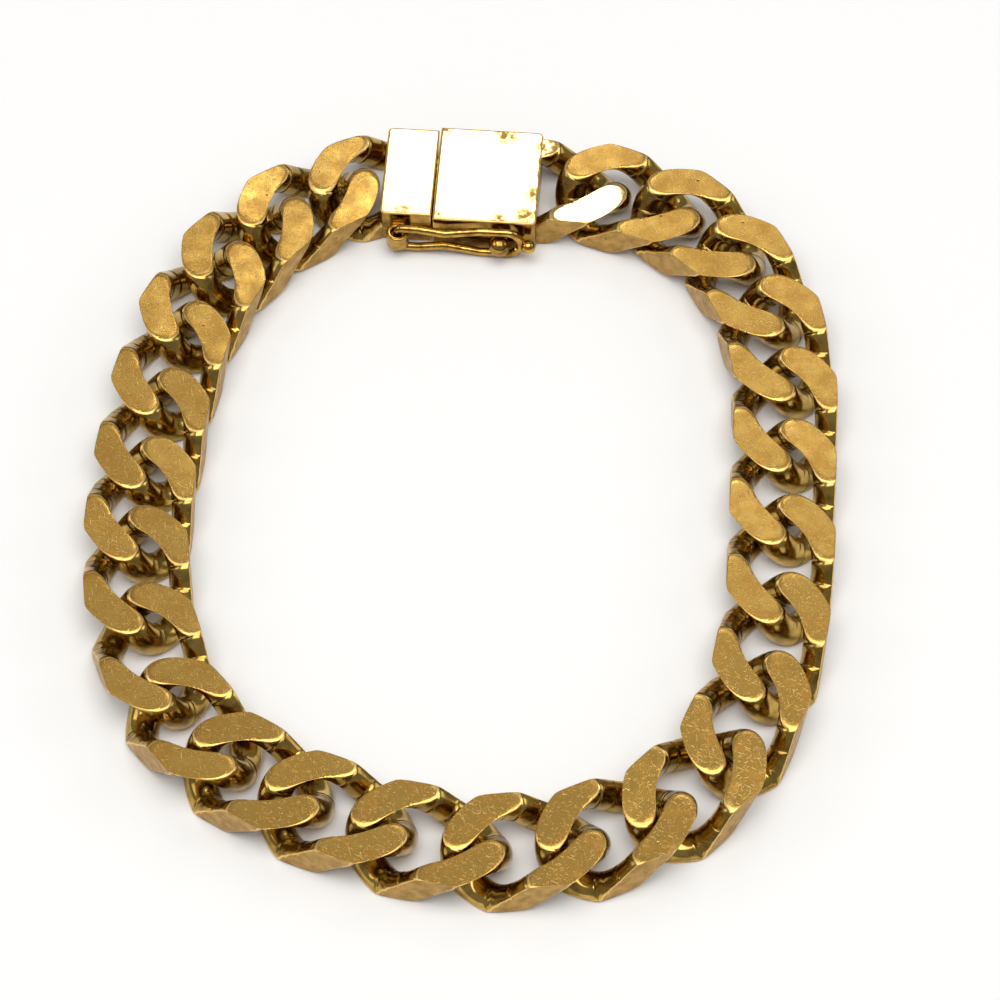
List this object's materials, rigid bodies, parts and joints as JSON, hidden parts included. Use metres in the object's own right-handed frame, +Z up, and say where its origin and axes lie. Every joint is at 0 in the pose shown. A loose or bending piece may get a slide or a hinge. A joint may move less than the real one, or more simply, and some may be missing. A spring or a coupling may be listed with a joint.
{
  "type": "bracelet",
  "caption": "Filed cuban link bracelet lying closed in a loop, with a box clasp and a bent-wire safety catch that hinges on a tube and snaps over a ball.",
  "frame": {"origin": "on the surface that the bracelet lies on, under the middle of the closed loop's bounding box", "axes": "+Z up from the surface, +Y away from the viewer towards the clasp, +X to the viewer's right"},
  "size_m": [0.0644, 0.0788, 0.0045],
  "materials": {
    "link_gold": "filed flats with a worn satin sheen, polished round wire between them",
    "clasp_gold": "polished, lightly worn",
    "catch_gold": "polished drawn wire"
  },
  "bodies": {
    "bracelet": {"link_01": "link_gold", "link_02": "link_gold", "link_03": "link_gold", "link_04": "link_gold", "link_05": "link_gold", "link_06": "link_gold", "link_07": "link_gold", "link_08": "link_gold", "link_09": "link_gold", "link_10": "link_gold", "link_11": "link_gold", "link_12": "link_gold", "link_13": "link_gold", "link_14": "link_gold", "link_15": "link_gold", "link_16": "link_gold", "link_17": "link_gold", "link_18": "link_gold", "link_19": "link_gold", "link_20": "link_gold", "link_21": "link_gold", "link_22": "link_gold", "link_23": "link_gold", "link_24": "link_gold", "clasp_box": "clasp_gold", "clasp_tongue": "clasp_gold"},
    "safety_catch": {"safety_catch": "catch_gold"}
  },
  "joints": [
    {"name": "catch_hinge", "type": "hinge", "parent": "bracelet", "child": "safety_catch", "pos_m": [-0.00604, 0.02795, 0.0019], "axis": [0, 0, -1], "range_deg": [0, 120]}
  ]
}
